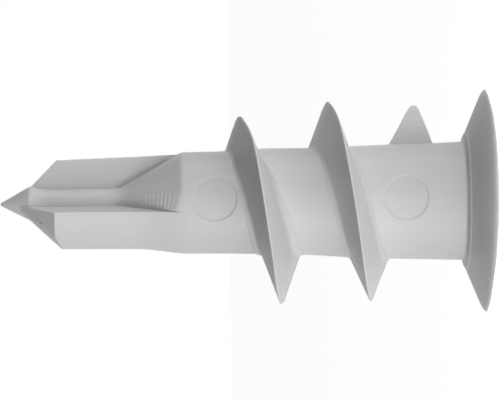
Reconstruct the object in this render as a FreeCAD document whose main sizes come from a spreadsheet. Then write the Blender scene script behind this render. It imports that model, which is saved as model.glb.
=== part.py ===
import FreeCAD, Part
import os
import Sketcher

# Self-drilling drywall anchor, moulded in one piece.
# Millimetres. The origin is the centre of the head's outer face, on which the anchor stands,
# and +Z runs along the axis to the drill point. The mould parts in the plane Y = 0, so -Y is
# the front half and +Y the back half.

os.makedirs("parts", exist_ok=True)
document = FreeCAD.newDocument("drywall_anchor")

SIZES = [
    ("overall_length", 32.0, "head face to drill point"),
    ("head_diameter", 14.7, "flange"),
    ("head_rim_thickness", 0.12, "edge of the flange"),
    ("head_depth", 1.6, "head face to where the flange meets the shank"),
    ("rim_chamfer", 0.03, "both edges of the rim"),
    ("seat_ring_diameter", 8.92, "raised ring on the underside of the flange"),
    ("seat_ring_height", 0.06, "step of that ring"),
    ("shank_diameter_head", 7.8, "under the flange"),
    ("shank_diameter_drill", 6.72, "at the shoulder above the drill"),
    ("shoulder_height", 20.0, "head face to the shoulder"),
    ("shoulder_ramp", 2.3, "length over which the shoulder drops to the drill lands"),
    ("land_diameter_rear", 6.2, "drill lands at the end of that ramp"),
    ("land_diameter_front", 6.0, "drill lands at the cutting lips"),
    ("core_diameter", 2.3, "web between the flutes"),
    ("point_angle", 28.0, "half angle of the centre point"),
    ("lip_angle", 50.0, "half angle of the cutting lips"),
    ("bevel_angle", 43.0, "half angle of the bevel behind each lip"),
    ("bevel_relief", 14.0, "tilt of that bevel"),
    ("point_flat", 0.12, "diameter of the blunt end of the point"),
    ("flute_start", 24.0, "head face to where the core begins to swell"),
    ("flute_floor", 0.47, "floor of each flute behind the parting plane"),
    ("land_face_offset", 0.11, "leading face of each land from the axis"),
    ("land_face_draft", 8.4, "draft of that face"),
    ("runout_clearance", 0.04, "swollen core inside the shank surface"),
    ("thread_diameter", 13.3, "crest of the flight"),
    ("thread_pitch", 5.8, "rise of the flight in one turn"),
    ("thread_start_height", 4.72, "crest of the flight at the right-hand parting line"),
    ("thread_turns", 1.89, "turns at full height"),
    ("thread_flank_angle", 18.0, "half angle of the flight's section"),
    ("thread_crest_width", 0.16, "flat on the crest"),
    ("thread_root_sink", 0.9, "depth of the flight's root inside the shank"),
    ("lead_in_turns", 0.39, "turns over which the flight rises from the shank"),
    ("lead_in_root_sink", 0.12, "depth of that stretch's root inside the shank"),
    ("lead_in_height", 0.25, "height of the flight where it begins"),
    ("thread_end_setback", 1.9, "flat end of the flight behind the parting plane"),
    ("bore_diameter", 3.4, "screw bore"),
    ("bore_depth", 18.2, "straight length of the screw bore"),
    ("bore_end_angle", 59.0, "half angle of the bore's conical end"),
    ("recess_width", 1.3, "slots of the cross recess at the mouth"),
    ("recess_span", 5.4, "cross recess from tip to tip at the mouth"),
    ("recess_depth", 2.6, "depth of the cross recess"),
    ("recess_draft", 6.0, "draft of the recess walls"),
    ("ejector_diameter", 2.88, "marks of the ejector pins"),
    ("ejector_sink", 0.05, "depth of those marks"),
    ("ejector_offset", 0.24, "marks beside the axis"),
    ("ejector_height_head", 5.6, "head face to the mark nearer the head"),
    ("ejector_height_drill", 18.0, "head face to the mark nearer the drill"),
]

sheet = document.addObject("Spreadsheet::Sheet", "sizes")
for row, (alias, number, note) in enumerate(SIZES, start=1):
    sheet.set(f"A{row}", alias)
    sheet.set(f"B{row}", str(number))
    sheet.set(f"C{row}", note)
    sheet.setAlias(f"B{row}", alias)
document.recompute()

# Heights and radii that follow from the sizes, as expressions on the sheet.
HEAD_RADIUS = "sizes.head_diameter / 2"
RIM_INNER_RADIUS = f"{HEAD_RADIUS} - sizes.rim_chamfer"
RING_RADIUS = "sizes.seat_ring_diameter / 2"
SHANK_RADIUS_HEAD = "sizes.shank_diameter_head / 2"
SHANK_RADIUS_DRILL = "sizes.shank_diameter_drill / 2"
LAND_RADIUS_REAR = "sizes.land_diameter_rear / 2"
LAND_RADIUS_FRONT = "sizes.land_diameter_front / 2"
CORE_RADIUS = "sizes.core_diameter / 2"
POINT_RISE = "(sizes.core_diameter - sizes.point_flat) / 2 / tan(sizes.point_angle * 1 deg)"
POINT_BASE = f"(sizes.overall_length - {POINT_RISE})"
LIP_DROP = "((sizes.land_diameter_front - sizes.core_diameter) / 2 / tan(sizes.lip_angle * 1 deg))"
LIP_CORNER = f"({POINT_BASE} - {LIP_DROP})"
UNDERSIDE_SLOPE = (
    "((sizes.head_depth - sizes.head_rim_thickness)"
    " / (sizes.head_diameter - sizes.shank_diameter_head) * 2)"
)
RING_TOP = f"(sizes.head_depth - ({RING_RADIUS} - {SHANK_RADIUS_HEAD}) * {UNDERSIDE_SLOPE})"
THREAD_RADIUS = "sizes.thread_diameter / 2"
OUTSIDE = "sizes.head_diameter"


def origin_feature(body, role):
    """Return the plane or axis of a body's own origin that has the given role."""
    for feature in body.Origin.OriginFeatures:
        if feature.Role == role:
            return feature
    raise ValueError(role)


def outline(body, name, plane, corners):
    """Sketch a straight-sided closed outline whose corners are pairs of expressions."""
    sketch = body.newObject("Sketcher::SketchObject", name)
    sketch.AttachmentSupport = [(origin_feature(body, plane), "")]
    sketch.MapMode = "FlatFace"
    points = []
    for across, along in corners:
        x = float(sketch.evalExpression(across))
        y = float(sketch.evalExpression(along))
        points.append(FreeCAD.Vector(x, y, 0))
    for index, point in enumerate(points):
        following = points[(index + 1) % len(points)]
        sketch.addGeometry(Part.LineSegment(point, following), False)
    for index in range(len(points)):
        following = (index + 1) % len(points)
        sketch.addConstraint(Sketcher.Constraint("Coincident", index, 2, following, 1))
    for index, (across, along) in enumerate(corners):
        hold_corner(sketch, index, "DistanceX", -2, across, points[index].x)
        hold_corner(sketch, index, "DistanceY", -1, along, points[index].y)
    return sketch


def hold_corner(sketch, index, kind, axis, expression, number):
    """Bind one coordinate of a corner to its expression, or lay the corner on the axis."""
    if expression == "0":
        sketch.addConstraint(Sketcher.Constraint("PointOnObject", index, 1, axis))
        return
    constraint = sketch.addConstraint(Sketcher.Constraint(kind, -1, 1, index, 1, number))
    sketch.setExpression(f"Constraints[{constraint}]", expression)


def tilt(sketch, axis, angle):
    """Turn a sketch about an axis of its plane by an angle given as an expression."""
    quarter_turn = FreeCAD.Rotation(axis, 90)
    sketch.AttachmentOffset = FreeCAD.Placement(FreeCAD.Vector(), quarter_turn)
    sketch.setExpression(".AttachmentOffset.Rotation.Angle", angle)


def turn(body, kind, name, sketch):
    """Revolve a sketch once round the axis, adding or cutting."""
    feature = body.newObject(kind, name)
    feature.Profile = (sketch, [""])
    feature.ReferenceAxis = (sketch, ["V_Axis"])
    feature.Angle = 360.0
    return feature


def pocket(body, name, sketch, **settings):
    """Cut a sketch out of a body."""
    feature = body.newObject("PartDesign::Pocket", name)
    feature.Profile = (sketch, [""])
    for key, setting in settings.items():
        setattr(feature, key, setting)
    return feature


def combine(body, name, kind, tool):
    """Fuse another body to this one, or cut it away."""
    document.recompute()
    boolean = body.newObject("PartDesign::Boolean", name)
    boolean.Type = kind
    boolean.setObjects([tool])
    body.Tip = boolean
    return boolean


def opposite_pair(body, name, original):
    """Repeat a cut on the other side of the axis, because the drill has two lands."""
    document.recompute()
    pattern = body.newObject("PartDesign::PolarPattern", name)
    pattern.Originals = [original]
    pattern.Axis = (origin_feature(body, "Z_Axis"), [""])
    pattern.Angle = 360.0
    pattern.Occurrences = 2
    body.Tip = pattern
    return pattern


# The flight: a right-handed helix at full height, then a shorter one that sinks into the shank
flight = document.addObject("PartDesign::Body", "flight")
FULL_ROOT = f"{SHANK_RADIUS_DRILL} - sizes.thread_root_sink"
LEAD_IN_ROOT = f"{SHANK_RADIUS_DRILL} - sizes.lead_in_root_sink"


def flight_section(name, root, height, angle):
    """Sketch the flight's section down to a root radius, at a height and an angle round the axis."""
    crest = "sizes.thread_crest_width / 2"
    base = f"({crest} + ({THREAD_RADIUS} - ({root})) * tan(sizes.thread_flank_angle * 1 deg))"
    sketch = outline(flight, name, "XZ_Plane", [
        (root, f"-{base}"),
        (THREAD_RADIUS, f"-{crest}"),
        (THREAD_RADIUS, crest),
        (root, base),
    ])
    tilt(sketch, FreeCAD.Vector(0, 1, 0), angle)
    sketch.setExpression(".AttachmentOffset.Base.y", height)
    return sketch


def helix(name, sketch, turns):
    """Sweep the flight's section along a helix of the given number of turns."""
    feature = flight.newObject("PartDesign::AdditiveHelix", name)
    feature.Profile = (sketch, [""])
    feature.ReferenceAxis = (sketch, ["V_Axis"])
    feature.Mode = "pitch-turns-angle"
    feature.setExpression("Pitch", "sizes.thread_pitch")
    feature.setExpression("Turns", turns)
    return feature


full_section = flight_section("full_section", FULL_ROOT, "sizes.thread_start_height", "0 deg")
full_flight = helix("full_flight", full_section, "sizes.thread_turns")
lead_in_section = flight_section(
    "lead_in_section",
    LEAD_IN_ROOT,
    "sizes.thread_start_height + sizes.thread_pitch * sizes.thread_turns",
    "360 deg * sizes.thread_turns",
)
lead_in = helix("lead_in", lead_in_section, "sizes.lead_in_turns")
SINK = f"({THREAD_RADIUS} - {SHANK_RADIUS_DRILL} - sizes.lead_in_height)"
lead_in.setExpression("Angle", f"-atan({SINK} / (sizes.thread_pitch * sizes.lead_in_turns))")

# The flat end of the flight faces the front, a little behind the parting plane
end_outline = outline(flight, "end_outline", "XZ_Plane", [
    ("0", "0"),
    (OUTSIDE, "0"),
    (OUTSIDE, "sizes.thread_start_height + sizes.thread_pitch / 4"),
    ("0", "sizes.thread_start_height + sizes.thread_pitch / 4"),
])
end_cut = pocket(flight, "end_cut", end_outline, Type="Length")
end_cut.setExpression("Length", "sizes.thread_end_setback")
document.recompute()

# Marks of the two ejector pins, which follow the shank's surface a little below it
marks = document.addObject("PartDesign::Body", "marks")
pins_outline = marks.newObject("Sketcher::SketchObject", "pins_outline")
pins_outline.AttachmentSupport = [(origin_feature(marks, "XZ_Plane"), "")]
pins_outline.MapMode = "FlatFace"
for height in ("sizes.ejector_height_head", "sizes.ejector_height_drill"):
    centre = FreeCAD.Vector(sheet.ejector_offset, float(pins_outline.evalExpression(height)), 0)
    round_edge = Part.Circle(centre, FreeCAD.Vector(0, 0, 1), sheet.ejector_diameter / 2)
    circle = pins_outline.addGeometry(round_edge, False)
    beside = pins_outline.addConstraint(Sketcher.Constraint("DistanceX", -1, 1, circle, 3, centre.x))
    above = pins_outline.addConstraint(Sketcher.Constraint("DistanceY", -1, 1, circle, 3, centre.y))
    across = pins_outline.addConstraint(Sketcher.Constraint("Diameter", circle, sheet.ejector_diameter))
    pins_outline.setExpression(f"Constraints[{beside}]", "sizes.ejector_offset")
    pins_outline.setExpression(f"Constraints[{above}]", height)
    pins_outline.setExpression(f"Constraints[{across}]", "sizes.ejector_diameter")
pins = marks.newObject("PartDesign::Pad", "pins")
pins.Profile = (pins_outline, [""])
pins.setExpression("Length", "sizes.shank_diameter_head")
mark_floor_outline = outline(marks, "mark_floor_outline", "XZ_Plane", [
    ("0", "sizes.head_depth + sizes.seat_ring_height"),
    (f"{SHANK_RADIUS_HEAD} - sizes.ejector_sink", "sizes.head_depth + sizes.seat_ring_height"),
    (f"{SHANK_RADIUS_DRILL} - sizes.ejector_sink", "sizes.shoulder_height"),
    ("0", "sizes.shoulder_height"),
])
mark_floor = turn(marks, "PartDesign::Groove", "mark_floor", mark_floor_outline)
document.recompute()

# Head, shank and drill lands, turned as one solid
anchor = document.addObject("PartDesign::Body", "anchor")
turned_outline = outline(anchor, "turned_outline", "XZ_Plane", [
    ("0", "0"),
    (RIM_INNER_RADIUS, "0"),
    (HEAD_RADIUS, "sizes.rim_chamfer"),
    (HEAD_RADIUS, "sizes.head_rim_thickness - sizes.rim_chamfer"),
    (RIM_INNER_RADIUS, f"sizes.head_rim_thickness + sizes.rim_chamfer * {UNDERSIDE_SLOPE}"),
    (RING_RADIUS, RING_TOP),
    (RING_RADIUS, f"{RING_TOP} + sizes.seat_ring_height"),
    (SHANK_RADIUS_HEAD, "sizes.head_depth + sizes.seat_ring_height"),
    (SHANK_RADIUS_DRILL, "sizes.shoulder_height"),
    (LAND_RADIUS_REAR, "sizes.shoulder_height + sizes.shoulder_ramp"),
    (LAND_RADIUS_FRONT, LIP_CORNER),
    (CORE_RADIUS, POINT_BASE),
    ("0", POINT_BASE),
])
turned = turn(anchor, "PartDesign::Revolution", "turned", turned_outline)
document.recompute()

# Two flutes, each with a flat floor and the drafted leading face of a land
FACE_AT_FLOOR = "-sizes.land_face_offset + sizes.flute_floor * tan(sizes.land_face_draft * 1 deg)"
FACE_OUTSIDE = f"-sizes.land_face_offset - {OUTSIDE} * tan(sizes.land_face_draft * 1 deg)"
flute_outline = outline(anchor, "flute_outline", "XY_Plane", [
    (FACE_AT_FLOOR, "sizes.flute_floor"),
    (FACE_OUTSIDE, f"-{OUTSIDE}"),
    (OUTSIDE, f"-{OUTSIDE}"),
    (OUTSIDE, "sizes.flute_floor"),
])
flute_outline.setExpression(".AttachmentOffset.Base.z", "sizes.shoulder_height")
flute = pocket(anchor, "flute", flute_outline, Type="ThroughAll", Reversed=True)
flutes = opposite_pair(anchor, "flutes", flute)

# Bevel behind each cutting lip
bevel_outline = outline(anchor, "bevel_outline", "XZ_Plane", [
    (f"-{CORE_RADIUS}", "0"),
    (f"-{OUTSIDE}", f"-({OUTSIDE} - {CORE_RADIUS}) / tan(sizes.bevel_angle * 1 deg)"),
    (f"-{OUTSIDE}", "0"),
])
tilt(bevel_outline, FreeCAD.Vector(1, 0, 0), "sizes.bevel_relief * 1 deg")
bevel_outline.setExpression(".AttachmentOffset.Base.y", POINT_BASE)
bevel = pocket(anchor, "bevel", bevel_outline, Type="ThroughAll", SideType="Symmetric")
bevels = opposite_pair(anchor, "bevels", bevel)

# Web between the flutes, with the cone on which they run out and the centre point
core_outline = outline(anchor, "core_outline", "XZ_Plane", [
    ("0", "sizes.shoulder_height"),
    (f"{SHANK_RADIUS_DRILL} - sizes.runout_clearance", "sizes.shoulder_height"),
    (CORE_RADIUS, "sizes.flute_start"),
    (CORE_RADIUS, POINT_BASE),
    ("sizes.point_flat / 2", "sizes.overall_length"),
    ("0", "sizes.overall_length"),
])
core = turn(anchor, "PartDesign::Revolution", "core", core_outline)

combine(anchor, "with_flight", "Fuse", flight)
combine(anchor, "with_marks", "Cut", marks)

# Screw bore and cross recess in the head
bore_outline = outline(anchor, "bore_outline", "XZ_Plane", [
    ("0", "0"),
    ("sizes.bore_diameter / 2", "0"),
    ("sizes.bore_diameter / 2", "sizes.bore_depth"),
    ("0", "sizes.bore_depth + sizes.bore_diameter / 2 / tan(sizes.bore_end_angle * 1 deg)"),
])
bore = turn(anchor, "PartDesign::Groove", "bore", bore_outline)
HALF_SPAN = "sizes.recess_span / 2"
HALF_WIDTH = "sizes.recess_width / 2"
recess_outline = outline(anchor, "recess_outline", "XY_Plane", [
    (HALF_SPAN, f"-{HALF_WIDTH}"),
    (HALF_SPAN, HALF_WIDTH),
    (HALF_WIDTH, HALF_WIDTH),
    (HALF_WIDTH, HALF_SPAN),
    (f"-{HALF_WIDTH}", HALF_SPAN),
    (f"-{HALF_WIDTH}", HALF_WIDTH),
    (f"-{HALF_SPAN}", HALF_WIDTH),
    (f"-{HALF_SPAN}", f"-{HALF_WIDTH}"),
    (f"-{HALF_WIDTH}", f"-{HALF_WIDTH}"),
    (f"-{HALF_WIDTH}", f"-{HALF_SPAN}"),
    (HALF_WIDTH, f"-{HALF_SPAN}"),
    (HALF_WIDTH, f"-{HALF_WIDTH}"),
])
recess = pocket(anchor, "recess", recess_outline, Type="Length", Reversed=True)
recess.setExpression("Length", "sizes.recess_depth")
recess.setExpression("TaperAngle", "-sizes.recess_draft")
document.recompute()

for checked in document.Objects:
    if "Invalid" in checked.State or "Error" in checked.State:
        raise RuntimeError(f"{checked.Name} failed: {checked.State}")

anchor.Label = "drywall_anchor"
anchor.Placement = FreeCAD.Placement()
if anchor.Shape.isNull() or not anchor.Shape.isValid() or len(anchor.Shape.Solids) != 1:
    raise RuntimeError("the anchor is not one valid solid")
anchor.Shape.exportStep(f"parts/{anchor.Label}.step")
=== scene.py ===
import math

import bmesh
import bpy
import numpy as np
from mathutils import Matrix


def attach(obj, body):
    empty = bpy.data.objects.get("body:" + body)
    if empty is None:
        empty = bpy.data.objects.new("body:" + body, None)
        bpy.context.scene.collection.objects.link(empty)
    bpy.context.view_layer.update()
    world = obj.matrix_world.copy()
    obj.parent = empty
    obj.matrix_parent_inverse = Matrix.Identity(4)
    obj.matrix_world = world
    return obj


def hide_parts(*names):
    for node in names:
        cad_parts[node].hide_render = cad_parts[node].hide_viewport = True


# Self-drilling drywall anchor in grey nylon, standing on its head as in the CAD frame. The camera
# is rolled by a quarter turn, so that the anchor lies with its drill point to the left.
# Lengths are written in millimetres and become metres where they enter Blender.

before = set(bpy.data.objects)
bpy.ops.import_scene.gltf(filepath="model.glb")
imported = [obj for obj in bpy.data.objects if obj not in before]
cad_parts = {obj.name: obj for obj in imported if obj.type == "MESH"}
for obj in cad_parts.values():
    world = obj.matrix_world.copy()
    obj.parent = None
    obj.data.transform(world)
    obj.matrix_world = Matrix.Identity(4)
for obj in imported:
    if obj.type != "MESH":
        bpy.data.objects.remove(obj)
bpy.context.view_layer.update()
scene = bpy.context.scene
MM = 0.001


# Shader maths
class Value:
    """A socket of a node tree on which Python arithmetic adds Math nodes."""

    def __init__(self, tree, socket):
        self.tree = tree
        self.socket = socket

    def maths(self, operation, *others):
        """Add one Math node whose inputs are this value and the others."""
        return self.tree.node("ShaderNodeMath", {"operation": operation}, [self, *others]).out()

    def __add__(self, other):
        return self.maths("ADD", other)

    def __sub__(self, other):
        return self.maths("SUBTRACT", other)

    def __rsub__(self, other):
        return self.tree.node("ShaderNodeMath", {"operation": "SUBTRACT"}, [other, self]).out()

    def __mul__(self, other):
        return self.maths("MULTIPLY", other)

    __radd__ = __add__
    __rmul__ = __mul__

    def band(self, start, end):
        """Rise smoothly from 0 where the value is start to 1 where it is end."""
        smooth = {"interpolation_type": "SMOOTHSTEP"}
        return self.tree.node("ShaderNodeMapRange", smooth, [self, start, end, 0.0, 1.0]).out()

    def between(self, rise, fall):
        """1 between two bands and 0 beyond them, each band as its start and its end."""
        return self.band(*rise) * (1.0 - self.band(*fall))


class Node:
    """A node of a tree, with its outputs by name or place."""

    def __init__(self, tree, made):
        self.tree = tree
        self.made = made

    def out(self, which=0):
        return Value(self.tree, self.made.outputs[which])


class Tree:
    """The node tree of a material or of the world."""

    def __init__(self, owner):
        owner.use_nodes = True
        self.inner = owner.node_tree
        self.inner.nodes.clear()

    def node(self, kind, settings=None, inputs=None):
        """Add a node: its settings first, then its inputs as a list in order or a dict by name."""
        made = self.inner.nodes.new(kind)
        for key, setting in (settings or {}).items():
            setattr(made, key, setting)
        pairs = inputs.items() if isinstance(inputs, dict) else enumerate(inputs or [])
        for key, given in pairs:
            if isinstance(given, Value):
                self.inner.links.new(given.socket, made.inputs[key])
            elif given is not None:
                made.inputs[key].default_value = given
        return Node(self, made)


# The plastic's patterns, as waves in a millimetre and detail
NYLON = (0.56, 0.56, 0.565)
GRAIN = (8.0, 3.0)
PORES = (26.0, 2.0)
CLOUD = (0.33, 2.0)
STREAK = (2.6, 3.0)
STREAK_STRETCH = (1.0, 1.0, 0.14)
SPECK_CELLS = 1.5
# Its soft-edged places, as pairs of where an edge starts and ends
PARTING_ENDS = ((0.15, 0.25), (19.85, 19.95))
PARTING_SIDES = (0.015, 0.06)
SPECK_CHANCE = (0.66, 0.7)
SPECK_RIM = (0.03, 0.075)
SPECK_DARKER = 0.22
# Painted shade: a darker band painted on a flute's floor, in its corner with the run-out. The floor
# meets the run-out at x = start + slope * (height - z), and square turns a distance along X into
# one at right angles to that line.
CORNER_START = 1.0
CORNER_HEIGHT = 24.3
CORNER_SLOPE = 0.537
CORNER_SQUARE = 0.88
CORNER_WIDTH = ((-0.06, 0.04), (0.06, 0.42))
CORNER_DEPTH = ((0.35, 0.44), (0.5, 0.62))
CORNER_HEIGHTS = ((20.6, 21.4), (24.1, 24.6))
CORNER_PAINTED_SHADE = 0.3
# Painted shadow: a darker band painted on core and run-out beside a land's face, whose plane
# leans off X = 0 by its slope
FACE_SLOPE = 0.19
FACE_START = 0.02
BESIDE_WIDTH = ((0.0, 0.08), (0.12, 0.55))
BESIDE_DEPTH = (0.6, 0.8)
BESIDE_HEIGHTS = ((21.0, 21.9), (28.6, 29.2))
BESIDE_CORE = (24.0, 25.0)
BESIDE_CORE_FADE = 0.55
BESIDE_PAINTED_SHADE = 0.25
# Painted light: the thin rim is painted lighter, by the square of the distance from the axis, and
# the end of the flight is painted lighter too
RIM_GLOW_SQUARES = (26.0, 46.0)
RIM_GLOW_TOP = (0.8, 1.3)
RIM_PAINTED_LIGHT = 0.13
END_GLOW_X = (3.9, 5.4)
END_GLOW_Y = ((0.8, 1.0), (1.95, 2.4))
END_GLOW_HEIGHTS = ((3.3, 3.6), (6.7, 7.2))
END_PAINTED_LIGHT = 0.17


def painted_corner_shade(x, y, height):
    """Painted shade: how much darker the drill's corners are, the same on both sides of the axis.
    """
    side = y.maths("SIGN")
    across = x * side
    depth = y * side
    beyond = (across - (CORNER_HEIGHT - height) * CORNER_SLOPE - CORNER_START) * CORNER_SQUARE
    corner = beyond.between(*CORNER_WIDTH) * depth.between(*CORNER_DEPTH)
    corner = corner * height.between(*CORNER_HEIGHTS)
    from_face = depth * FACE_SLOPE - across - FACE_START
    beside = from_face.between(*BESIDE_WIDTH) * depth.band(*BESIDE_DEPTH)
    beside = beside * height.between(*BESIDE_HEIGHTS)
    beside = beside * (1.0 - height.band(*BESIDE_CORE) * BESIDE_CORE_FADE)
    return corner * CORNER_PAINTED_SHADE + beside * BESIDE_PAINTED_SHADE


def painted_thin_light(x, y, height):
    """Painted light: how much lighter the thin rim and the flight's flat end are painted."""
    rim = (x * x + y * y).band(*RIM_GLOW_SQUARES) * (1.0 - height.band(*RIM_GLOW_TOP))
    end = x.band(*END_GLOW_X) * y.between(*END_GLOW_Y) * height.between(*END_GLOW_HEIGHTS)
    return rim * RIM_PAINTED_LIGHT + end * END_PAINTED_LIGHT


def grey_nylon():
    """Satin glass-filled nylon straight from the mould.

    It has a fine grain, soft clouds, streaks along the axis from the flow of the melt, a few dark
    specks and the fine line of the mould's parting plane along the shank. Shade in the drill's
    corners and light on the thin rim and the flight's end are painted into its colour.
    """
    material = bpy.data.materials.new("grey_nylon")
    tree = Tree(material)
    metres = tree.node("ShaderNodeTexCoord").out("Object")
    scaled = {"operation": "SCALE"}
    place = tree.node("ShaderNodeVectorMath", scaled, {"Vector": metres, "Scale": 1 / MM}).out()
    split = tree.node("ShaderNodeSeparateXYZ", None, [place])
    x, y, height = split.out("X"), split.out("Y"), split.out("Z")

    def noise(vector, scale, detail):
        """Noise with the given number of waves in a millimetre, from 0 to 1."""
        inputs = {"Vector": vector, "Scale": scale, "Detail": detail}
        return tree.node("ShaderNodeTexNoise", None, inputs).out("Fac")

    stretch = {"operation": "MULTIPLY"}
    drawn = tree.node("ShaderNodeVectorMath", stretch, [place, STREAK_STRETCH]).out()
    grain = noise(place, *GRAIN)
    pores = noise(place, *PORES)
    cloud = noise(place, *CLOUD)
    streak = noise(drawn, *STREAK)

    cells = tree.node("ShaderNodeTexVoronoi", None, {"Vector": place, "Scale": SPECK_CELLS})
    chance = tree.node("ShaderNodeSeparateColor", None, [cells.out("Color")]).out("Red")
    speck = chance.band(*SPECK_CHANCE) * (1.0 - cells.out("Distance").band(*SPECK_RIM))
    parting = (1.0 - y.maths("ABSOLUTE").band(*PARTING_SIDES)) * height.between(*PARTING_ENDS)

    tone = grain * 0.05 + pores * 0.03 + cloud * 0.06 + streak * 0.05 + parting * 0.05 + 0.905
    # Painted shade in the drill's corners and painted light on the thin rim and the flight's end go
    # into the colour here
    tone = tone - speck * SPECK_DARKER - painted_corner_shade(x, y, height) + painted_thin_light(x, y, height)
    colour = tree.node("ShaderNodeVectorMath", scaled, {"Vector": NYLON, "Scale": tone})
    relief = grain * 0.5 + pores * 0.35 + streak * 0.6 + parting * 1.2 - speck * 0.8
    uneven = {"Strength": 0.3, "Distance": 0.01 * MM, "Height": relief}
    shader = tree.node(
        "ShaderNodeBsdfPrincipled",
        None,
        {
            "Base Color": colour.out(),
            "Roughness": cloud * 0.14 + streak * 0.06 + speck * 0.1 + 0.38,
            "Normal": tree.node("ShaderNodeBump", None, uneven).out(),
            "IOR": 1.5,
            "Subsurface Weight": 0.4,
            "Subsurface Radius": (1.0, 1.0, 1.0),
            "Subsurface Scale": 0.45 * MM,
        },
    )
    tree.node("ShaderNodeOutputMaterial", None, {"Surface": shader.out()})
    return material


# Floor, background and lamps
WHITE = (1.0, 1.0, 1.0, 1.0)
FLOOR_HALF = 600.0
FLOOR_COLOUR = (0.8, 0.8, 0.8, 1.0)
FLOOR_SEEN = 0.965
FLOOR_GLOW = 0.952
LAMP_AIM = 15.5


def rays_that_see(tree):
    """1 for camera, glossy and transmission rays, and 0 for all others."""
    path = tree.node("ShaderNodeLightPath")
    return path.out("Is Camera Ray") + path.out("Is Glossy Ray") + path.out("Is Transmission Ray")


def light_table():
    """Matt white floor that glows like a light table, and is white where no shadow falls on it."""
    material = bpy.data.materials.new("light_table")
    tree = Tree(material)
    strength = rays_that_see(tree) * (FLOOR_SEEN - FLOOR_GLOW) + FLOOR_GLOW
    matt = tree.node("ShaderNodeBsdfDiffuse", None, {"Color": FLOOR_COLOUR})
    glow = tree.node("ShaderNodeEmission", None, {"Color": WHITE, "Strength": strength})
    both = tree.node("ShaderNodeAddShader", None, [matt.out(), glow.out()])
    tree.node("ShaderNodeOutputMaterial", None, {"Surface": both.out()})
    return material


floor_corners = FLOOR_HALF * MM * np.array([(-1, -1, 0), (1, -1, 0), (1, 1, 0), (-1, 1, 0)])
floor_mesh = bpy.data.meshes.new("floor")
floor_mesh.from_pydata(floor_corners.tolist(), [], [(0, 1, 2, 3)])
floor = bpy.data.objects.new("floor", floor_mesh)
scene.collection.objects.link(floor)
floor_mesh.materials.append(light_table())

world = bpy.data.worlds.new("studio")
scene.world = world
sky = Tree(world)
background = {"Color": WHITE, "Strength": rays_that_see(sky)}
background = sky.node("ShaderNodeBackground", None, background)
sky.node("ShaderNodeOutputWorld", None, {"Surface": background.out()})


def softbox(name, where, size, watts):
    """Area lamp at a place in millimetres that faces the middle of the anchor."""
    lamp = bpy.data.lights.new(name, "AREA")
    lamp.shape = "RECTANGLE"
    lamp.size = size[0] * MM
    lamp.size_y = size[1] * MM
    lamp.energy = watts
    rig = bpy.data.objects.new(name, lamp)
    scene.collection.objects.link(rig)
    place = np.array(where) * MM
    towards = np.array([0.0, 0.0, LAMP_AIM * MM]) - place
    back = -towards / np.linalg.norm(towards)
    side = np.cross([0.0, 0.0, 1.0], back)
    side /= np.linalg.norm(side)
    up = np.cross(back, side)
    turned = Matrix.Identity(4)
    for column, axis in enumerate((side, up, back)):
        for row in range(3):
            turned[row][column] = axis[row]
        turned[column][3] = place[column]
    rig.matrix_world = turned


softbox("front_softbox", (0.0, -300.0, 14.0), (140.0, 26.0), 0.144)
softbox("key_softbox", (-200.0, -220.0, 14.0), (200.0, 26.0), 0.303)
softbox("low_softbox", (-300.0, -60.0, 14.0), (300.0, 26.0), 0.073)
softbox("high_softbox", (300.0, -60.0, 14.0), (300.0, 26.0), 0.234)

# Camera
CAMERA_DISTANCE = 186.6
CAMERA_ACROSS = 0.16
CAMERA_HEIGHT = 22.2
CAMERA_NEAREST = 10.0
AIM_HEIGHT = 15.6
FOCAL_PIXELS = 2834.0
IMAGE_WIDTH = 500.0
SENSOR = 36.0
ROLL = math.radians(0.473)
LOOK_DOWN = math.atan((CAMERA_HEIGHT - AIM_HEIGHT) / CAMERA_DISTANCE)
# The picture's right is the anchor's -Z and its top is +X, so the anchor lies on its side
QUARTER_TURN = Matrix(((0, 1, 0, 0), (0, 0, -1, 0), (-1, 0, 0, 0), (0, 0, 0, 1)))

camera_data = bpy.data.cameras.new("camera")
camera_data.sensor_width = SENSOR
camera_data.lens = SENSOR * FOCAL_PIXELS / IMAGE_WIDTH
camera_data.clip_start = CAMERA_NEAREST * MM
camera = bpy.data.objects.new("camera", camera_data)
scene.collection.objects.link(camera)
scene.camera = camera
camera.matrix_world = (
    Matrix.Translation((CAMERA_ACROSS * MM, -CAMERA_DISTANCE * MM, CAMERA_HEIGHT * MM))
    @ Matrix.Rotation(-LOOK_DOWN, 4, "X")
    @ QUARTER_TURN
    @ Matrix.Rotation(-ROLL, 4, "Z")
)

# Sizes of the head, in millimetres and degrees
HEAD_RADIUS = 7.35
FACE_RING = 6.35
RIM_THICKNESS = 0.115
RIM_ROUNDING = (0.34, 0.09)
RIM_FACE_ROUNDING = 0.02
FLANGE_DEPTH = 1.57
FLANGE_FILLET = 0.12
FLANGE_GAP = 0.15
RING_RADIUS = 4.46
RING_STEP = 0.06
RING_SIDE = 0.03
RING_ROUNDINGS = (0.02, 0.03)
# The thin rim stands off the plane of the face by this much, by its angle round the axis
RIM_LIFT = (
    (0, 0.0), (180, 0.0), (197, 0.13), (222, 0.155), (246, 0.06), (265, 0.0), (300, 0.0),
    (316, 0.02), (334, 0.09), (346, 0.09), (360, 0.0),
)
RIM_LIFT_REACH = 1.0
RIM_LIFT_THINNING = 0.4
# At front and back the flange swells a little and falls away more steeply towards the rim
RIM_SWELL = 0.16
FOOT_SWELL = 0.09
RIM_SWELL_RADII = (4.6, 6.4, 7.35)
SWELL_TOP = 1.77

# Recess and bore
BORE_RADIUS = 1.7
BORE_DEPTH = 18.2
BORE_END_ANGLE = 59.0
RECESS_HALF_WIDTH = 0.65
RECESS_HALF_SPAN = 2.7
RECESS_DEPTH = 2.6
RECESS_DRAFT = 6.0
MOUTH_CHAMFER = 0.07

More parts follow.
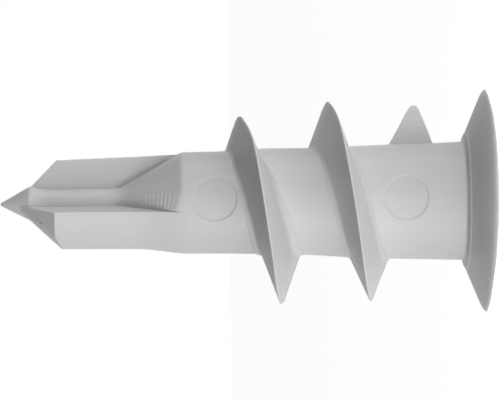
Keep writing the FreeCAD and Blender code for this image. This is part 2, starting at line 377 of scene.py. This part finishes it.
# Shank, and the two round marks of ejector pins on its front
SHANK_START = 1.87
SHANK_END = 20.12
SHANK_END_ROUNDING = 0.2
SHANK_HEIGHTS = (1.6, 3.5, 6.5, 9.0, 12.1, 15.1, 17.6, 19.9)
SHANK_RADII = (3.915, 3.838, 3.76, 3.665, 3.51, 3.47, 3.365, 3.34)
SHANK_MOST = 4.0
SHANK_BOW = (
    (0.0, 0.0), (1.6, 0.0), (2.4, -0.017), (8.0, -0.017), (14.5, 0.07), (18.5, 0.01), (20.0, 0.0),
)
MARK_HEIGHTS = (5.6, 18.0)
MARK_ACROSS = 0.24
MARK_RADIUS = 1.44
MARK_SINK = 0.06
MARK_WALL = 0.06
# A mark fills a window of the shank's grid, which reaches this far from its middle on all sides,
# as measured at the radius. Turns are counted from +X to the front, and on from there to the marks.
MARK_FIELD = 1.75
MARK_FIELD_MARGIN = 0.1
MARK_FIELD_RADIUS = 3.8
FRONT_TURN = 0.75
MARK_TURN = 0.01

# Point, core and run-out
POINT_END = 32.0
POINT_FLAT = 0.09
POINT_FLAT_FALL = 0.03
POINT_RADIUS = 1.12
POINT_BASE = 30.07
CORE_TOP_RADIUS = 0.96
CORE_TOP = 29.4
CORE_RADIUS = 0.985
RUNOUT_END = 24.15
BELOW_RUNOUT = 19.0
DRILL_ROUNDINGS = (0.0, 0.03, 0.15, 0.35, 0.5, SHANK_END_ROUNDING, 0.0)
DRILL_GAP = 0.3
# The cone of the point leans: its base lies this far towards +X, by height
POINT_LEAN = ((0.0, 0.0), (28.6, 0.0), (29.9, 0.055), (32.0, 0.0))
# The edge between shank and run-out comes nearer to the tip beside each land, by angle
RUNOUT_LIFT = (
    (0, 0.0), (256, 0.0), (262, 0.3), (275, 0.16), (286, 0.0), (300, 0.0), (360, 0.0),
)
RUNOUT_LIFT_FOOT = (19.8, 20.12)
RUNOUT_LIFT_TOP = (24.0, 20.1)
# Tool marks on the run-out: rings about a point beside the core, which fade out over the pairs
TOOL_PITCH = 0.27
TOOL_DEPTH = 0.026
TOOL_CENTRE = (-0.35, 26.2)
TOOL_REACH = (20.35, 23.4)
TOOL_FADE_HEIGHTS = ((20.35, 20.6), (23.4, 21.6))
TOOL_FADE_SIDES = ((1.5, 0.3), (-1.2, -0.6))
TOOL_GAP = 0.04

# Lands of the drill
FLUTE_FLOOR = 0.47
LAND_FACE = -0.02
LAND_FACE_DRAFT = 10.8
LAND_LEVELS = (19.4, 23.0, 27.4)
LAND_EDGE = 0.035
LAND_EDGE_ANGLE = 40.0
LIP_ANGLE = 44.2
LIP_TOP = 30.3
LIP_RADIUS = 1.15
LIP_BLEND = 0.12
BEVEL_FALL = 0.25

# A small curl of plastic left on the front lip, about a place in X and Z
VESTIGE = (-1.17, 29.24)
VESTIGE_RADIUS = 0.14
VESTIGE_STRETCH = 1.5
VESTIGE_ANGLES = (20.0, 215.0)
VESTIGE_SIDEWAYS = (0.0, -0.7, 0.7)
VESTIGE_THICKNESS = 0.055
VESTIGE_RISE = 0.06

# Flight
CREST_RADIUS = 6.65
PITCH = 5.8
FLIGHT_START = 4.72
FLIGHT_TURNED = 832.0
FLIGHT_STEP = 2.0
FLIGHT_LEAST = 0.02
CREST_HALF_WIDTH = 0.035
CREST_ROUNDING = 0.05
CREST_SHARES = (0.3, 0.98)
TIP_SIDE_FILLET = 0.28
HEAD_SIDE_FILLET = 0.42
FILLET_SHARE = 0.45
# How the section goes on under the shank's surface
ROOT_TUCK = 0.004
ROOT_SKIRT = (-0.06, 0.12)
ROOT_DEPTH = 0.7
ROOT_SPREAD = 0.02
# The flat end
END_SETBACK = 1.9
END_TILT = 0.3
END_HALF_WIDTH = 0.22
END_ROUNDING = 0.34
END_FADE = 60.0
END_STEP = 0.35
# Along the flight, by its angle from the mould's parting plane: how far the crest lies off the
# plain helix, how much lower it is than its radius, and how the two flanks slope
CREST_WANDER = (
    (0, -0.42), (17, -0.42), (50, -0.28), (110, -0.05), (150, -0.03), (180, 0.045), (205, 0.02),
    (250, 0.04), (290, 0.08), (325, 0.025), (345, 0.05), (360, -0.085), (375, -0.235),
    (395, -0.325), (460, 0.03), (500, 0.075), (525, 0.105), (540, 0.155), (565, 0.085),
    (600, 0.01), (645, 0.05), (690, 0.105), (712, 0.085), (725, -0.02), (745, -0.08),
    (770, -0.1), (840, 0.0),
)
CREST_DROP = (
    (0, -0.03), (17, -0.03), (40, 0.0), (120, 0.0), (180, 0.067), (230, 0.0), (320, 0.04),
    (360, 0.056), (400, 0.02), (500, 0.0), (540, -0.05), (600, 0.0), (660, 0.036), (700, 0.83),
    (720, 1.01), (740, 1.3), (760, 1.5), (832, 3.35),
)
TIP_SIDE_SLOPE = (
    (0, 0.41), (17, 0.455), (60, 0.34), (120, 0.33), (180, 0.46), (210, 0.345), (270, 0.32),
    (360, 0.32), (390, 0.36), (450, 0.32), (500, 0.325), (540, 0.366), (570, 0.34), (630, 0.32),
    (840, 0.32),
)
HEAD_SIDE_SLOPE = (
    (0, 0.41), (17, 0.43), (60, 0.334), (120, 0.332), (180, 0.36), (210, 0.323), (450, 0.32),
    (500, 0.308), (540, 0.323), (630, 0.315), (690, 0.304), (750, 0.32), (840, 0.32),
)

# Steps of the grids. One arm of the recess has four runs and its end, and four arms make a ring.
ROUNDING_STEPS = 5
ARM_RUN_STEPS = 15
ARM_END_STEPS = 20
COLUMNS = 4 * (4 * ARM_RUN_STEPS + ARM_END_STEPS)
AROUND = np.arange(COLUMNS) * 2 * math.pi / COLUMNS
FACE_STEPS = 7
SHANK_STEPS = 22
FIELD_STEPS = 25
MARK_LINE_SHARES = (0.25, 0.5, 0.75, 1.0)
MARK_WALL_STEPS = 7
MARK_FLOOR_STEPS = 9
LAND_ARC_STEPS = 44
LAND_FLAT_STEPS = 26
LAND_LEVEL_STEPS = (22, 10)
LAND_RISE_SHARES = (0.35, 0.7, 0.9, 1.0)
LAND_END_STEPS = 22
LAND_FOOT_SHARES = (0.0, 0.5)
SECTION_STEPS = 9
CREST_STEPS = 6
ROOT_ROUNDS = 4
VESTIGE_STEPS = 26
VESTIGE_POINT_ANGLE = 36
# Points nearer than this are one point, and an edge sharper than this angle shows as an edge
MERGE = 0.0005
SHARP_ANGLE = 38.0
NEVER_SHARP = 180.0


# Mesh helpers
def parabola(start, corner, end, t):
    """(1 - t)^2 start + 2 t (1 - t) corner + t^2 end."""
    return (1 - t) ** 2 * start + 2 * t * (1 - t) * corner + t**2 * end


def rounded(corners, cuts):
    """Polyline through corners, each replaced by a parabola between points a cut away from it.

    A pair of cuts gives the two sides of a corner one each.
    """
    corners = np.asarray(corners, float)
    t = np.linspace(0.0, 1.0, ROUNDING_STEPS)[:, None]
    line = []
    for index, (corner, cut) in enumerate(zip(corners, cuts)):
        if cut == 0.0:
            line.append(corner[None])
            continue
        first, second = cut if isinstance(cut, tuple) else (cut, cut)
        before = corners[index - 1] - corner
        after = corners[index + 1] - corner
        start = corner + before / np.linalg.norm(before) * first
        end = corner + after / np.linalg.norm(after) * second
        line.append(parabola(start, corner, end, t))
    return np.concatenate(line)


def filled(line, gap):
    """The polyline with points added so that none are further apart than gap."""
    pieces = []
    for start, end in zip(line[:-1], line[1:]):
        count = max(1, math.ceil(np.linalg.norm(end - start) / gap))
        pieces.append(start + (end - start) * np.arange(count)[:, None] / count)
    pieces.append(line[-1:])
    return np.concatenate(pieces)


def revolve(profile, angles):
    """Rings of a turned surface: (r, z) on the profile becomes (r cos a, r sin a, z)."""
    r, z = profile[:, 0, None], profile[:, 1, None]
    level = np.broadcast_to(z, (len(profile), len(angles)))
    return np.stack([r * np.cos(angles), r * np.sin(angles), level], axis=-1)


def ring_faces(rings, across):
    """Quads between neighbouring rings of a grid with the given number of points across."""
    row, column = np.meshgrid(np.arange(rings - 1), np.arange(across), indexing="ij")
    here = row * across
    following = (column + 1) % across
    corners = [here + column, here + following, here + across + following, here + across + column]
    return np.stack(corners, axis=-1)


def make_piece(name, points, quads, sharp=SHARP_ANGLE):
    """Put points and quads into one mesh, close it up and turn its faces outwards.

    Points that fall together at poles and seams are merged.
    """
    mesh = bpy.data.meshes.new(name)
    mesh.vertices.add(len(points))
    mesh.vertices.foreach_set("co", (np.asarray(points, float) * MM).astype(np.float32).ravel())
    quads = np.asarray(quads, np.int32).reshape(-1, 4)
    mesh.loops.add(quads.size)
    mesh.loops.foreach_set("vertex_index", quads.ravel())
    mesh.polygons.add(len(quads))
    mesh.polygons.foreach_set("loop_start", np.arange(0, quads.size, 4, dtype=np.int32))
    mesh.update(calc_edges=True)
    shell = bmesh.new()
    shell.from_mesh(mesh)
    bmesh.ops.remove_doubles(shell, verts=shell.verts, dist=MERGE * MM)
    bmesh.ops.dissolve_degenerate(shell, edges=shell.edges, dist=MERGE * MM)
    bmesh.ops.recalc_face_normals(shell, faces=shell.faces)
    shell.to_mesh(mesh)
    shell.free()
    mesh.shade_smooth()
    mesh.set_sharp_from_angle(angle=math.radians(sharp))
    mesh.materials.append(nylon)
    piece = bpy.data.objects.new(name, mesh)
    scene.collection.objects.link(piece)
    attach(piece, "root")
    return piece


def smooth_step(value, start, end):
    """3t^2 - 2t^3, where t goes from 0 at the start to 1 at the end."""
    t = np.clip((value - start) / (end - start), 0.0, 1.0)
    return t * t * (3 - 2 * t)


def eased(place, table):
    """Value at a place from a table of (place, value), with a smooth_step between its rows."""
    places, values = np.array(table, float).T
    row = np.clip(np.searchsorted(places, place, side="right") - 1, 0, len(places) - 2)
    share = smooth_step(place, places[row], places[row + 1])
    return values[row] + (values[row + 1] - values[row]) * share


def shank_radius(z):
    """Radius of the shank at a height, straight between the heights of its table."""
    return np.interp(z, SHANK_HEIGHTS, SHANK_RADII)


def bowed(points):
    """Points of the shank's outside, moved along X by the slight bow of its axis."""
    moved = points.copy()
    moved[..., 0] += eased(points[..., 2], SHANK_BOW)
    return moved


# Head and shank
def recess_outline(half_width, half_span, bore):
    """Outline of the cross recess and the bore at one depth, as COLUMNS points.

    One arm, in the quarter turn round +X, runs from the diagonal along the bore's circle, then
    along the slot's side to its end, across the end and back. The other arms are the same, turned.
    The points are counted on by half an arm, so that the first lies on +X like the outer rings'.
    """
    corner = math.sqrt(bore**2 - half_width**2)
    start = math.atan2(half_width, corner)
    arc = bore * np.exp(1j * np.linspace(-math.pi / 4, -start, ARM_RUN_STEPS, endpoint=False))
    side = np.linspace(corner, half_span, ARM_RUN_STEPS, endpoint=False) - 1j * half_width
    end = half_span + 1j * np.linspace(-half_width, half_width, ARM_END_STEPS, endpoint=False)
    back = np.linspace(half_span, corner, ARM_RUN_STEPS, endpoint=False) + 1j * half_width
    close = bore * np.exp(1j * np.linspace(start, math.pi / 4, ARM_RUN_STEPS, endpoint=False))
    arm = np.concatenate([arc, side, end, back, close])
    arms = np.concatenate([arm * 1j**quarter for quarter in range(4)])
    arms = np.roll(arms, -len(arm) // 2)
    return np.stack([arms.real, arms.imag], axis=1)


def recess_rings():
    """Rings from the mouth in the head's face down the cross recess and the bore to its end."""
    slope = math.tan(math.radians(RECESS_DRAFT))
    rings = []
    for depth, spread in ((0.0, MOUTH_CHAMFER), (MOUTH_CHAMFER, 0.0), (RECESS_DEPTH, 0.0)):
        flat = recess_outline(
            RECESS_HALF_WIDTH - depth * slope + spread,
            RECESS_HALF_SPAN - depth * slope + spread,
            BORE_RADIUS + spread,
        )
        rings.append(np.column_stack([flat, np.full(COLUMNS, depth)]))
    circle = flat / np.linalg.norm(flat, axis=1, keepdims=True)
    cone = BORE_RADIUS / math.tan(math.radians(BORE_END_ANGLE))
    for radius, depth in (
        (BORE_RADIUS, RECESS_DEPTH),
        (BORE_RADIUS, BORE_DEPTH),
        (0.0, BORE_DEPTH + cone),
    ):
        rings.append(np.column_stack([circle * radius, np.full(COLUMNS, depth)]))
    return np.stack(rings)


def shank_rows():
    """Heights of the shank's rings: close together where a mark lies, and apart elsewhere."""
    plain = np.linspace(SHANK_START, SHANK_END - SHANK_END_ROUNDING, SHANK_STEPS)
    rows = []
    for height in MARK_HEIGHTS:
        rows.append(np.linspace(height - MARK_FIELD, height + MARK_FIELD, FIELD_STEPS))
        plain = plain[np.abs(plain - height) >= MARK_FIELD + MARK_FIELD_MARGIN]
    return np.sort(np.concatenate([plain, *rows]))[::-1]


def mark_patch(border, height, first):
    """Fill one window of the shank's grid with an ejector pin's mark.

    Seen along Y the mark is a circle. Each point of the window's border is joined to the circle by
    a straight line in that view, and rings of points on those lines pass over the rim, down the
    wall and on to the middle. Depth is smooth_step of the distance from the rim.
    """
    centre = np.array([MARK_ACROSS, height])
    flat = np.column_stack([border[:, 0] - eased(border[:, 2], SHANK_BOW), border[:, 2]])
    reach = np.linalg.norm(flat - centre, axis=1)
    outward = (flat - centre) / reach[:, None]
    edge = MARK_RADIUS + MARK_WALL
    foot = MARK_RADIUS - MARK_WALL
    lines = reach + (edge - reach) * np.array(MARK_LINE_SHARES)[:, None]
    wall = np.linspace(edge, foot, MARK_WALL_STEPS)[1:]
    inward = np.concatenate([wall, np.linspace(foot, 0.0, MARK_FLOOR_STEPS)[1:]])
    circles = np.broadcast_to(inward[:, None], (len(inward), len(flat)))
    distance = np.concatenate([lines, circles])
    place = centre + outward * distance[..., None]
    radius = shank_radius(place[..., 1]) - MARK_SINK * smooth_step(distance, edge, foot)
    depth = -np.sqrt(radius**2 - place[..., 0] ** 2)
    points = bowed(np.stack([place[..., 0], depth, place[..., 1]], axis=-1))
    rings = np.concatenate([border[None], points])
    faces = ring_faces(len(rings), len(border)).reshape(-1, 4) + first
    return rings.reshape(-1, 3), faces


def tool_marks(points):
    """Height of the tool marks at points on the run-out cone.

    At a distance d from the tool's centre, seen along Y, the height is the depth times
    (1 + cos(2 pi d / pitch)) / 2. The marks fade out towards both ends of the cone and away from
    the middle of each side. The back is the front turned by half a turn.
    """
    across = points[..., 0] * -np.sign(points[..., 1] + 1e-6)
    height = points[..., 2]
    distance = np.hypot(across - TOOL_CENTRE[0], height - TOOL_CENTRE[1])
    marks = TOOL_DEPTH * (0.5 + 0.5 * np.cos(2 * math.pi * distance / TOOL_PITCH))
    for start, end in TOOL_FADE_HEIGHTS:
        marks *= smooth_step(height, start, end)
    for start, end in TOOL_FADE_SIDES:
        marks *= smooth_step(across, start, end)
    return marks


def drill_profile():
    """Radius and height down point, core and run-out, with close points under the tool marks."""
    line = rounded(
        [
            (0.0, POINT_END),
            (POINT_FLAT, POINT_END - POINT_FLAT_FALL),
            (POINT_RADIUS, POINT_BASE),
            (CORE_TOP_RADIUS, CORE_TOP),
            (CORE_RADIUS, RUNOUT_END),
            (shank_radius(SHANK_END), SHANK_END),
            (shank_radius(BELOW_RUNOUT), BELOW_RUNOUT),
        ],
        DRILL_ROUNDINGS,
    )[:-1]
    low, high = TOOL_REACH
    cut = np.nonzero(line[:, 1] < high)[0][0]
    foot, lead = line[cut], line[cut - 1]
    share = (np.array([high, low]) - foot[1]) / (lead[1] - foot[1])
    marked = foot + (lead - foot) * share[:, None]
    above = np.concatenate([line[:cut], marked[:1]])
    return np.concatenate([filled(above, DRILL_GAP)[:-1], filled(marked, TOOL_GAP), line[cut:]])


def flange_profile():
    """Radius and height from the shank's foot down the raised ring and the flange to the face."""
    foot_radius = SHANK_RADII[0]
    slope = (FLANGE_DEPTH - RIM_THICKNESS) / (HEAD_RADIUS - foot_radius)
    ring_foot = FLANGE_DEPTH - (RING_RADIUS - foot_radius) * slope
    line = rounded(
        [
            (foot_radius, SHANK_START),
            (foot_radius, FLANGE_DEPTH),
            (RING_RADIUS, ring_foot + RING_STEP),
            (RING_RADIUS + RING_SIDE, ring_foot),
            (HEAD_RADIUS, RIM_THICKNESS),
            (HEAD_RADIUS, 0.0),
            (FACE_RING, 0.0),
        ],
        (0.0, FLANGE_FILLET, *RING_ROUNDINGS, RIM_ROUNDING, RIM_FACE_ROUNDING, 0.0),
    )
    return filled(line[1:], FLANGE_GAP)


def turned_outside(profile):
    """The profile's rings, with what makes them differ from a plain turned surface.

    The tool marks stand out from the run-out, and shank and point move along X by their bow and
    lean. Along Z the run-out's edge rises beside each land. The rim rises by rim_lift(angle) times
    smooth_step of the distance from the axis, and the flange swells by
    sin^2(angle) * smooth_step(inside) * (1 - outside^3).
    """
    radius, level = profile.T
    outside = revolve(profile, AROUND)
    outward = np.stack([np.cos(AROUND), np.sin(AROUND)], axis=1)
    outside[..., :2] += tool_marks(outside)[..., None] * outward
    outside = bowed(outside)
    height = outside[..., 2].copy()
    degrees = np.degrees(AROUND)
    outside[..., 0] += eased(height, POINT_LEAN)
    beside_land = eased(degrees, RUNOUT_LIFT)
    beside_land = beside_land + np.roll(beside_land, COLUMNS // 2)
    near_edge = smooth_step(height, *RUNOUT_LIFT_FOOT) * smooth_step(height, *RUNOUT_LIFT_TOP)
    outside[..., 2] += near_edge * beside_land
    near_rim = smooth_step(radius, HEAD_RADIUS - RIM_LIFT_REACH, HEAD_RADIUS)
    near_rim *= 1 - RIM_LIFT_THINNING * smooth_step(level, 0.0, RIM_THICKNESS)
    outside[..., 2] += near_rim[:, None] * eased(degrees, RIM_LIFT)
    inner, top, outer = RIM_SWELL_RADII
    inside = smooth_step(radius, inner, top)
    beyond = np.clip((radius - top) / (outer - top), 0.0, 1.0)
    swell = inside * (1 - beyond**3) * RIM_SWELL + (1 - inside) * FOOT_SWELL
    swell *= (level > RIM_THICKNESS) & (level < SWELL_TOP)
    outside[..., 2] += swell[:, None] * np.sin(AROUND) ** 2
    return outside


def turned_body():
    """Point, core, run-out cone, shank, head, recess and bore as one closed turned surface."""
    rows = shank_rows()
    shank = np.column_stack([shank_radius(rows), rows])
    profile = np.concatenate([drill_profile(), shank, flange_profile()])
    outside = turned_outside(profile)
    inside = recess_rings()
    shares = np.linspace(0.0, 1.0, FACE_STEPS)[1:-1, None, None]
    face = outside[-1] + (inside[0] - outside[-1]) * shares
    rings = np.concatenate([outside, face, inside])
    quads = ring_faces(len(rings), COLUMNS)
    keep = np.ones(quads.shape[:2], bool)
    points = [rings.reshape(-1, 3)]
    patches = []
    reach = math.asin(MARK_FIELD / MARK_FIELD_RADIUS) / (2 * math.pi)
    left = round((FRONT_TURN - reach) * COLUMNS)
    right = round((FRONT_TURN + MARK_TURN + reach) * COLUMNS)
    for height in MARK_HEIGHTS:
        near = np.abs(profile[:, 1] - height) < MARK_FIELD + MERGE
        window = np.nonzero(near & (profile[:, 0] < SHANK_MOST))[0]
        upper, lower = window[0], window[-1]
        keep[upper:lower, left:right] = False
        border = [
            rings[upper, left:right],
            rings[upper:lower, right],
            rings[lower, right:left:-1],
            rings[lower:upper:-1, left],
        ]
        first = sum(map(len, points))
        made, faces = mark_patch(np.concatenate(border), height, first)
        points.append(made)
        patches.append(faces)
    quads = np.concatenate([quads[keep], *patches])
    return make_piece("turned_body", np.concatenate(points), quads)


# Drill
def drill_land(name, outside, bevel_top, bevel_slope, turned):
    """One land: a corner-shaped bar under the lip's cone and the bevel's plane.

    Its section is bounded by the flute's floor, a circle with the outside's radius, from a table
    of (height, radius), and the drafted face. The end is the smooth minimum
    (a + b - sqrt((a - b)^2 + blend^2)) / 2 of lip cone and bevel plane over the section, and the
    section shrinks towards its middle across both ends.
    """
    heights, radii = np.array(outside).T
    draft = math.tan(math.radians(LAND_FACE_DRAFT))
    corner = np.array([-LAND_FACE - FLUTE_FLOOR * draft, -FLUTE_FLOOR])

    def land_section(radius):
        """Outline for one radius: along the floor, round the arc, back along the face."""
        start = math.pi + np.arcsin(FLUTE_FLOOR / radius)
        outer_y = -np.sqrt(radius**2 - (LAND_FACE + radius * draft) ** 2)
        end = np.arctan2(outer_y, -LAND_FACE + outer_y * draft) + 2 * math.pi
        arc = np.linspace(start, end, LAND_ARC_STEPS)
        arc = np.stack([radius * np.cos(arc), radius * np.sin(arc)], axis=1)
        outward = np.linspace(0, 1, LAND_FLAT_STEPS, endpoint=False)[:, None]
        inward = np.linspace(0, 1, LAND_FLAT_STEPS)[1:-1, None]
        out = corner + (arc[0] - corner) * outward
        back = arc[-1] + (corner - arc[-1]) * inward
        return np.concatenate([out, arc, back])

    def end_height(flat):
        """Height of the land's end over points of its section."""
        reach = np.linalg.norm(flat, axis=-1)
        lip = LIP_TOP - (reach - LIP_RADIUS) / math.tan(math.radians(LIP_ANGLE))
        bevel = bevel_top - (-flat[..., 0] - LIP_RADIUS) * bevel_slope + BEVEL_FALL * flat[..., 1]
        return (lip + bevel - np.sqrt((lip - bevel) ** 2 + LIP_BLEND**2)) / 2

    low, middle, high = LAND_LEVELS
    lower, upper = LAND_LEVEL_STEPS
    levels = [np.linspace(low, middle, lower), np.linspace(middle, high, upper)[1:]]
    rings = []
    for level in np.concatenate(levels):
        flat = land_section(np.interp(level, heights, radii))
        rings.append(np.column_stack([flat, np.full(len(flat), level)]))
    last = land_section(radii[-1])
    ends = end_height(last)
    for share in LAND_RISE_SHARES:
        rings.append(np.column_stack([last, high + (ends - high) * share]))
    centre = last.mean(axis=0)
    for share in np.linspace(1.0, 0.0, LAND_END_STEPS)[1:]:
        flat = centre + (last - centre) * share
        rings.append(np.column_stack([flat, end_height(flat)]))
    foot = rings[0]
    under = [
        foot * np.array([share, share, 1.0]) + np.array([*centre * (1 - share), 0.0])
        for share in LAND_FOOT_SHARES
    ]
    rings = np.stack(under + rings)
    if turned:
        rings = rings * np.array([-1.0, -1.0, 1.0])
    land = make_piece(name, rings.reshape(-1, 3), ring_faces(len(rings), rings.shape[1]))
    edge = land.modifiers.new("edge", "BEVEL")
    edge.width = LAND_EDGE * MM
    edge.segments = 2
    edge.limit_method = "ANGLE"
    edge.angle_limit = math.radians(LAND_EDGE_ANGLE)
    edge.harden_normals = False


def vestige():
    """Small curl of plastic on the front lip, a tube whose radius falls to nothing at both ends.

    Its path is (x, z) = centre + radius * (cos a, stretch * sin a) on the lip's cone, where
    y = -sqrt(reach^2 - x^2) and reach follows from z.
    """
    a = np.radians(np.linspace(*VESTIGE_ANGLES, VESTIGE_STEPS))
    x = VESTIGE[0] + VESTIGE_RADIUS * np.cos(a)
    z = VESTIGE[1] + VESTIGE_RADIUS * VESTIGE_STRETCH * np.sin(a)
    reach = LIP_RADIUS + (LIP_TOP - z) * math.tan(math.radians(LIP_ANGLE))
    path = np.stack([x, -np.sqrt(reach**2 - x**2) - VESTIGE_RISE, z + VESTIGE_RISE], axis=1)
    along = np.gradient(path, axis=0)
    along /= np.linalg.norm(along, axis=1, keepdims=True)
    side = np.cross(along, VESTIGE_SIDEWAYS)
    side /= np.linalg.norm(side, axis=1, keepdims=True)
    out = np.cross(side, along)
    swell = np.sqrt(np.clip(np.sin(np.linspace(0.0, math.pi, VESTIGE_STEPS)), 0, 1))
    thick = VESTIGE_THICKNESS * swell[:, None, None]
    b = np.radians(np.arange(0, 360, VESTIGE_POINT_ANGLE))[:, None]
    tube = path[:, None] + thick * (side[:, None] * np.cos(b) + out[:, None] * np.sin(b))
    make_piece("vestige", tube.reshape(-1, 3), ring_faces(*tube.shape[:2]), NEVER_SHARP)


# Flight
def flight():
    """The right-handed flight as one section carried along a helix.

    The crest lies at z = start + pitch * angle / 360 + wander. The section's half width at radius
    r is its half width at the crest + (crest radius - r) * slope, with parabolas at crest and
    roots. Near the flat end the section is fuller, and every point turns until it lies in the
    plane y = setback + tilt * (radius - crest radius).
    """
    first = math.degrees(math.asin(END_SETBACK / CREST_RADIUS))
    onward = np.arange(math.ceil(first) + 1.0, FLIGHT_TURNED, FLIGHT_STEP)
    u = np.concatenate([[first, first + END_STEP], onward])
    near_end = 1 - smooth_step(u, first, first + END_FADE)
    crest = CREST_RADIUS - eased(u, CREST_DROP)
    half = CREST_HALF_WIDTH + (END_HALF_WIDTH - CREST_HALF_WIDTH) * near_end
    rounding = CREST_ROUNDING + (END_ROUNDING - CREST_ROUNDING) * near_end

    def centre(angle):
        """Height of the crest's middle at an angle."""
        return FLIGHT_START + PITCH * angle / 360 + eased(angle, CREST_WANDER)

    def section_side(side, fillet, slopes):
        """Radii of one side of the section and its distances from the crest's middle."""
        flank = eased(u, slopes)
        length = np.sqrt(1 + flank**2)
        level = centre(u)
        root = shank_radius(level)
        for _ in range(ROOT_ROUNDS):
            root = shank_radius(level + side * (half + (crest - root) * flank))
        width = half + (crest - root) * flank
        tall = np.maximum(crest - root, FLIGHT_LEAST)
        cut = np.minimum(fillet, tall * FILLET_SHARE)
        up = np.minimum(rounding, tall * CREST_SHARES[0])
        flat = half - np.minimum(up, half * CREST_SHARES[1])
        buried, skirt, far, foot, low, high, top, over = np.array(
            [
                (root - ROOT_DEPTH, width + cut + ROOT_SPREAD),
                (root - ROOT_TUCK + ROOT_SKIRT[0], width + cut + ROOT_SKIRT[1]),
                (root - ROOT_TUCK, width + cut),
                (root, width),
                (root + cut / length, width - cut * flank / length),
                (crest - up / length, half + up * flank / length),
                (crest, half),
                (crest, flat),
            ]
        )[..., None]
        line = [
            buried,
            skirt,
            parabola(far, foot, low, np.linspace(0, 1, SECTION_STEPS)),
            low + (high - low) * np.linspace(0, 1, SECTION_STEPS)[1:-1],
            parabola(high, top, over, np.linspace(0, 1, CREST_STEPS)),
        ]
        radii, across = np.concatenate(line, axis=-1)
        return radii, across * side

    tip_radii, tip_across = section_side(1.0, TIP_SIDE_FILLET, TIP_SIDE_SLOPE)
    head_radii, head_across = section_side(-1.0, HEAD_SIDE_FILLET, HEAD_SIDE_SLOPE)
    radius = np.concatenate([tip_radii, head_radii[:, ::-1]], axis=1)
    across = np.concatenate([tip_across, head_across[:, ::-1]], axis=1)
    turn = np.radians(u)[:, None]
    near_end = near_end[:, None]
    flat_lean = np.arcsin(END_SETBACK / radius) - math.radians(first)
    z = centre(np.degrees(turn + flat_lean * near_end)) + across
    setback = END_SETBACK + END_TILT * (radius - CREST_RADIUS)
    angle = turn + (np.arcsin(setback / radius) - math.radians(first)) * near_end
    points = np.stack([radius * np.cos(angle), radius * np.sin(angle), z], axis=-1)
    count = points.shape[1]
    quads = ring_faces(len(points), count).reshape(-1, 4)
    pairs = np.arange(count // 2 - 1)
    cap = np.stack([pairs, pairs + 1, count - 2 - pairs, count - 1 - pairs], axis=1)
    last = (len(points) - 1) * count
    quads = np.concatenate([quads, cap, cap[:, ::-1] + last])
    make_piece("flight", points.reshape(-1, 3), quads)


# Pieces
nylon = grey_nylon()
body = turned_body()
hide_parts("drywall_anchor")
drill_land(
    "front_land",
    outside=(
        (19.4, 3.3), (20.0, 3.345), (20.5, 3.31), (21.2, 3.215), (21.8, 3.135), (22.3, 3.08),
        (22.9, 3.045), (23.6, 3.03), (28.0, 3.01),
    ),
    bevel_top=30.09,
    bevel_slope=1.09,
    turned=False,
)
drill_land(
    "back_land",
    outside=((19.9, 3.27), (20.3, 3.25), (23.0, 3.12), (28.0, 2.94)),
    bevel_top=30.17,
    bevel_slope=0.985,
    turned=True,
)
flight()
vestige()

scene.view_settings.view_transform = "Standard"
